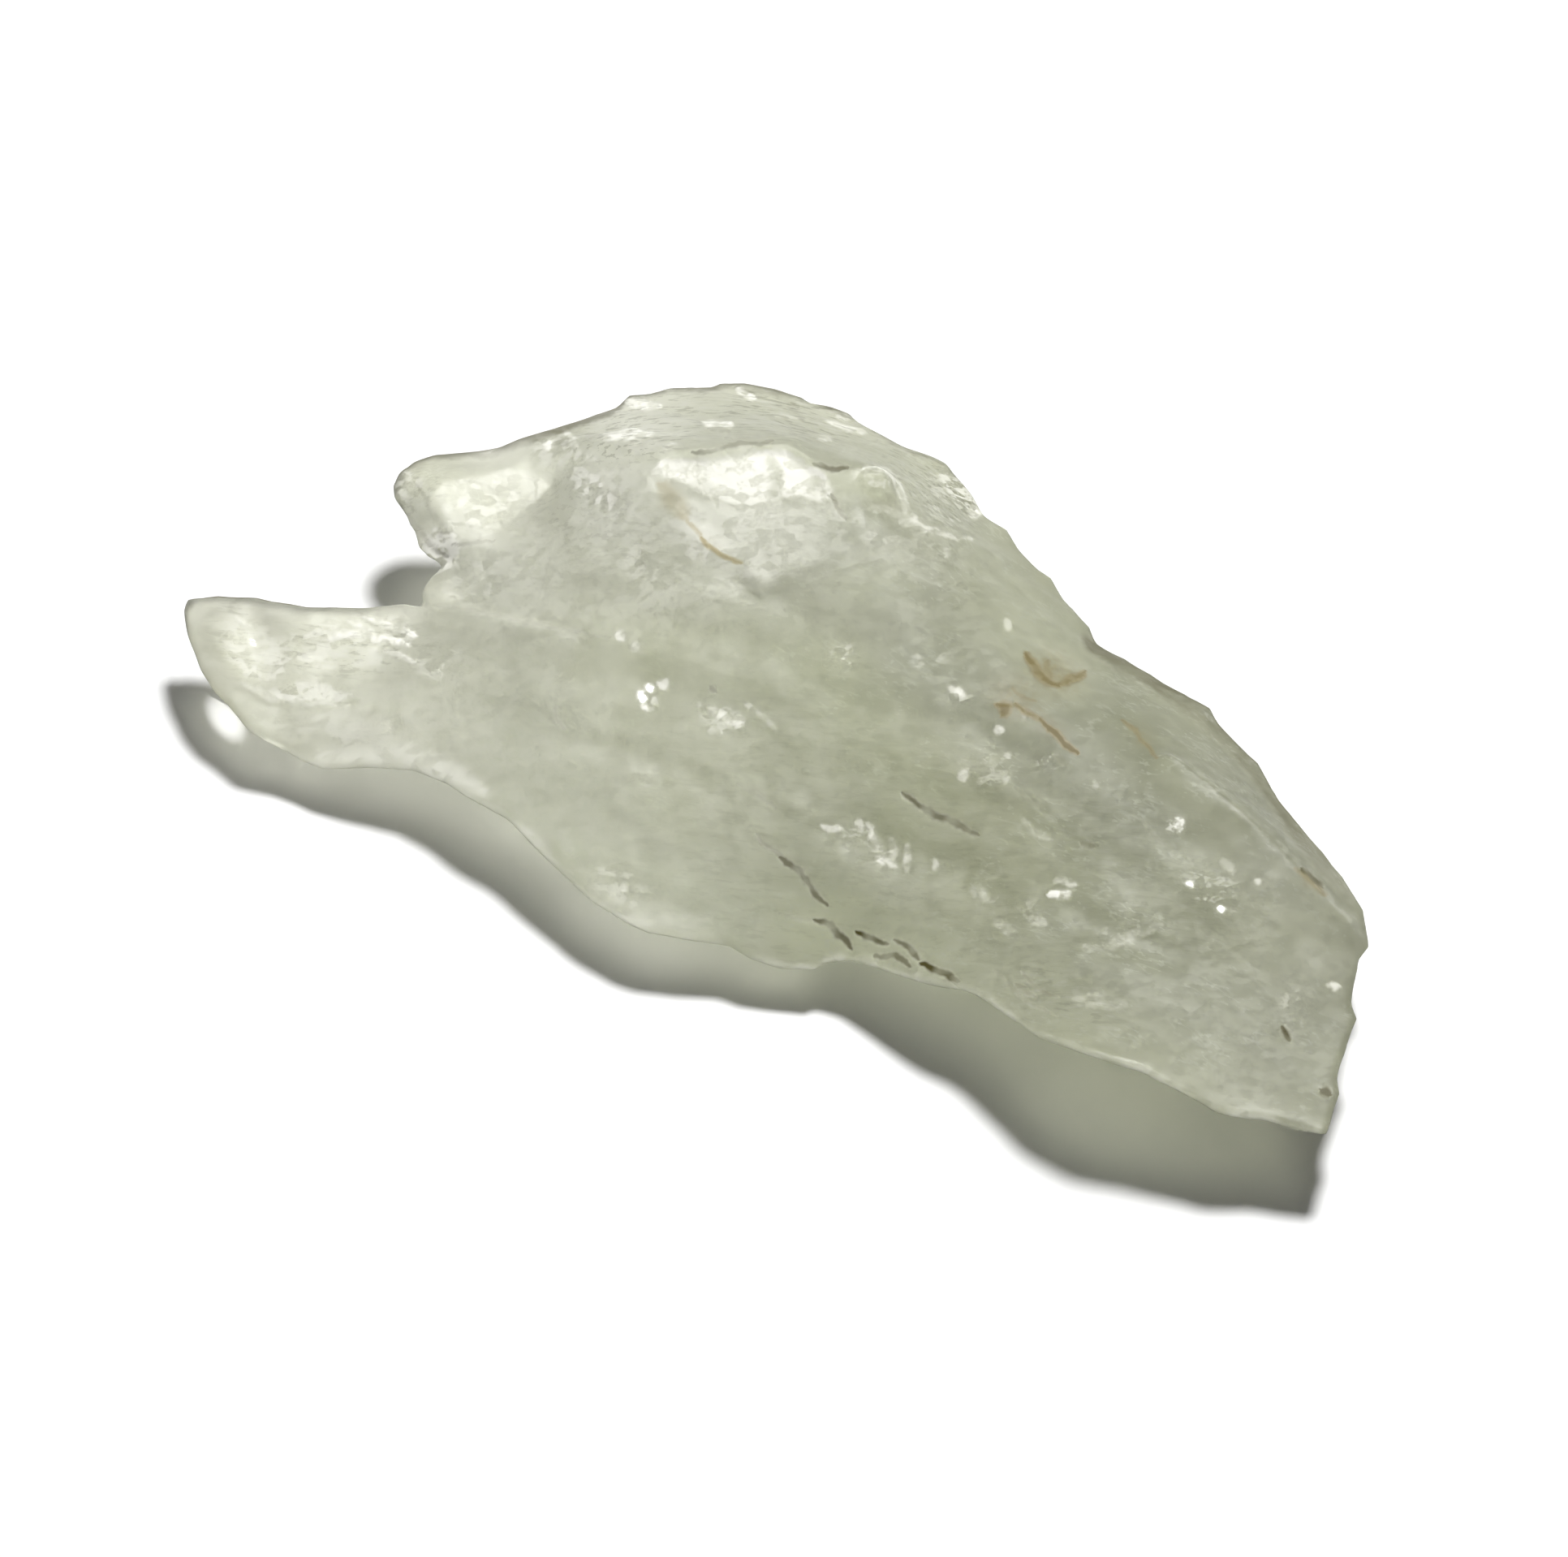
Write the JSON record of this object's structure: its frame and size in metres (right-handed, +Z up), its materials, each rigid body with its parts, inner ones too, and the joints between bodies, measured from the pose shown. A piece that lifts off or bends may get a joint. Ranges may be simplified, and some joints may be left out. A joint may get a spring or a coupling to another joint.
{
  "type": "raw prasiolite crystal shard",
  "caption": "A rough shard of pale green translucent quartz with two prongs at one end, thin broken edges, a long back ridge, a bright flake scar and a flat facet underneath to rest on.",
  "frame": {"origin": "on the table, under the middle of the shard's bounding box", "axes": "+Z is up from the table with the shard lying on its flat lower facet, and +X runs along the shard's longest way, from the two prongs to the blunt end"},
  "size_m": [0.0506, 0.024, 0.0099],
  "materials": {
    "crystal": "raw fractured pale green quartz, milky and translucent, glossy on fresh faces and frosted on rough ones"
  },
  "bodies": {
    "root": {"prasiolite": "crystal"}
  },
  "joints": []
}
